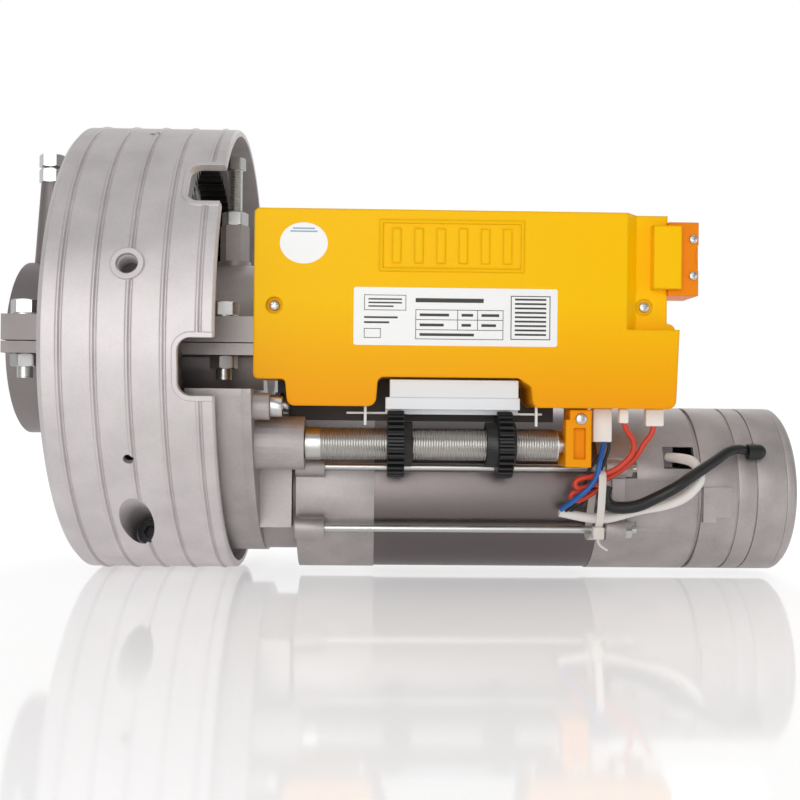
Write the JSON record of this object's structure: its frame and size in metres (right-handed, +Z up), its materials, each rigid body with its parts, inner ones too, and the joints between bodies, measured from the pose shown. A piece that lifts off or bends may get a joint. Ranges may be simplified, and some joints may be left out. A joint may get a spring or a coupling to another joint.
{
  "type": "roller shutter motor",
  "caption": "Central motor for a roller shutter: split crown on a shaft clamp, gear case, limit switch unit with toothed wheels, switch box and tube motor with brake.",
  "frame": {"origin": "on the axis of the shaft clamp, in the middle of the crown's width", "axes": "+X along the shaft towards the brake end, -Y out of the switch box's face, +Z up"},
  "size_m": [0.407, 0.24, 0.24],
  "materials": {
    "cast_aluminium": "die-cast, unpainted, slightly rough",
    "zinc_steel": "zinc plated",
    "bronze": "sintered, oiled",
    "stator_steel": "stacked sheets, ground",
    "copper": "lacquered wire",
    "bearing_steel": "ground",
    "dark_screw": "black oxide",
    "friction_disc": "pressed friction lining",
    "bracket_plastic": "moulded, satin",
    "sheet_steel": "zinc plated sheet",
    "yellow_plastic": "moulded, satin gloss",
    "black_plastic": "moulded, matt",
    "white_plastic": "moulded, matt",
    "red_insulation": "soft wire insulation",
    "blue_insulation": "soft wire insulation",
    "nylon": "moulded nylon"
  },
  "bodies": {
    "frame": {"main_body": "cast_aluminium", "clamp_cap": "cast_aluminium", "clamp_bolts": "zinc_steel", "clamp_nuts": "zinc_steel", "lock_screws": "zinc_steel", "lock_nuts": "zinc_steel", "gearbox_cover": "cast_aluminium", "cover_bolts": "zinc_steel", "gear_bushes": "bronze", "motor_front_shield": "cast_aluminium", "stator_core": "stator_steel", "stator_windings": "copper", "tie_rods": "zinc_steel", "tie_rod_nuts": "zinc_steel", "motor_bearings": "bearing_steel", "rear_shield": "cast_aluminium", "brake_housing": "cast_aluminium", "brake_coil": "copper", "brake_end_cap": "cast_aluminium", "limit_bracket": "bracket_plastic", "limit_bracket_screw": "zinc_steel", "box_bracket": "sheet_steel", "switch_box_base": "yellow_plastic", "switch_box_cover": "yellow_plastic", "box_screws": "zinc_steel", "microswitches": "black_plastic", "run_capacitor": "white_plastic", "mains_connector": "bracket_plastic", "connector_screws": "zinc_steel", "rating_label": "white_plastic", "round_sticker": "white_plastic", "wire_terminals": "white_plastic", "red_wire_upper": "red_insulation", "red_wire_lower": "red_insulation", "blue_wire": "blue_insulation", "white_cable": "white_plastic", "black_cable": "black_plastic", "cable_grommet": "black_plastic", "cable_tie": "white_plastic"},
    "crown": {"crown_half_front": "cast_aluminium", "crown_half_rear": "cast_aluminium", "ring_gear_front": "bearing_steel", "ring_gear_rear": "bearing_steel", "crown_joint_screws": "dark_screw"},
    "cage": {"roller_cage": "nylon", "rollers": "bearing_steel"},
    "output_shaft": {"output_pinion": "bearing_steel", "output_gear": "bearing_steel"},
    "mid_shaft": {"mid_pinion": "bearing_steel", "mid_gear": "bearing_steel"},
    "rotor": {"rotor_shaft": "bearing_steel", "rotor_core": "stator_steel", "brake_disc": "friction_disc"},
    "limit_shaft": {"limit_screw": "zinc_steel"},
    "wheel_left": {"limit_wheel_left": "black_plastic"},
    "wheel_right": {"limit_wheel_right": "black_plastic"},
    "lock": {"lock_bar": "white_plastic"},
    "switch_left": {"lever_left": "white_plastic"},
    "switch_right": {"lever_right": "white_plastic"},
    "armature": {"brake_armature": "bearing_steel"}
  },
  "joints": [
    {"name": "crown_spin", "type": "hinge", "parent": "frame", "child": "crown", "pos_m": [0, 0, 0], "axis": [1, 0, 0], "range_deg": [-310, 310]},
    {"name": "cage_spin", "type": "hinge", "parent": "frame", "child": "cage", "pos_m": [0, 0, 0], "axis": [1, 0, 0], "range_deg": [-168, 168]},
    {"name": "output_spin", "type": "hinge", "parent": "frame", "child": "output_shaft", "pos_m": [0, 0.03402, -0.07899], "axis": [1, 0, 0], "range_deg": [-1795, 1795]},
    {"name": "mid_spin", "type": "hinge", "parent": "frame", "child": "mid_shaft", "pos_m": [0, 0.01149, -0.06816], "axis": [1, 0, 0], "range_deg": [-7180, 7180]},
    {"name": "rotor_spin", "type": "hinge", "parent": "frame", "child": "rotor", "pos_m": [0, -0.016, -0.0735], "axis": [1, 0, 0], "range_deg": [-43000, 43000]},
    {"name": "limit_screw_spin", "type": "hinge", "parent": "frame", "child": "limit_shaft", "pos_m": [0, -0.078, -0.04879], "axis": [1, 0, 0], "range_deg": [-2695, 2695]},
    {"name": "wheel_left_travel", "type": "slide", "parent": "frame", "child": "wheel_left", "axis": [1, 0, 0], "range_m": [-0.0094, 0.0094]},
    {"name": "wheel_right_travel", "type": "slide", "parent": "frame", "child": "wheel_right", "axis": [1, 0, 0], "range_m": [-0.0094, 0.0094]},
    {"name": "lock_bar_lift", "type": "slide", "parent": "frame", "child": "lock", "axis": [0, 0, 1], "range_m": [0, 0.0026], "stiffness_N_per_m": 300, "springref_m": -0.002},
    {"name": "switch_left_press", "type": "hinge", "parent": "frame", "child": "switch_left", "pos_m": [0.1083, -0.086, -0.025], "axis": [0, 1, 0], "range_deg": [0, 6], "stiffness_Nm_per_rad": 0.002, "springref_deg": -5.73},
    {"name": "switch_right_press", "type": "hinge", "parent": "frame", "child": "switch_right", "pos_m": [0.1909, -0.086, -0.025], "axis": [0, 1, 0], "range_deg": [-6, 0], "stiffness_Nm_per_rad": 0.002, "springref_deg": 5.73},
    {"name": "brake_release", "type": "slide", "parent": "frame", "child": "armature", "axis": [1, 0, 0], "range_m": [0, 0.0005], "stiffness_N_per_m": 4000, "springref_m": -0.005}
  ],
  "couplings": [
    {"joint": "cage_spin", "follows": "crown_spin", "ratio": 0.53846},
    {"joint": "output_spin", "follows": "crown_spin", "ratio": 5.7778},
    {"joint": "mid_spin", "follows": "crown_spin", "ratio": -23.111},
    {"joint": "rotor_spin", "follows": "crown_spin", "ratio": 138.67},
    {"joint": "limit_screw_spin", "follows": "crown_spin", "ratio": 8.6667},
    {"joint": "wheel_left_travel", "follows": "crown_spin", "m_per_rad": -0.0017242},
    {"joint": "wheel_right_travel", "follows": "crown_spin", "m_per_rad": -0.0017242}
  ]
}
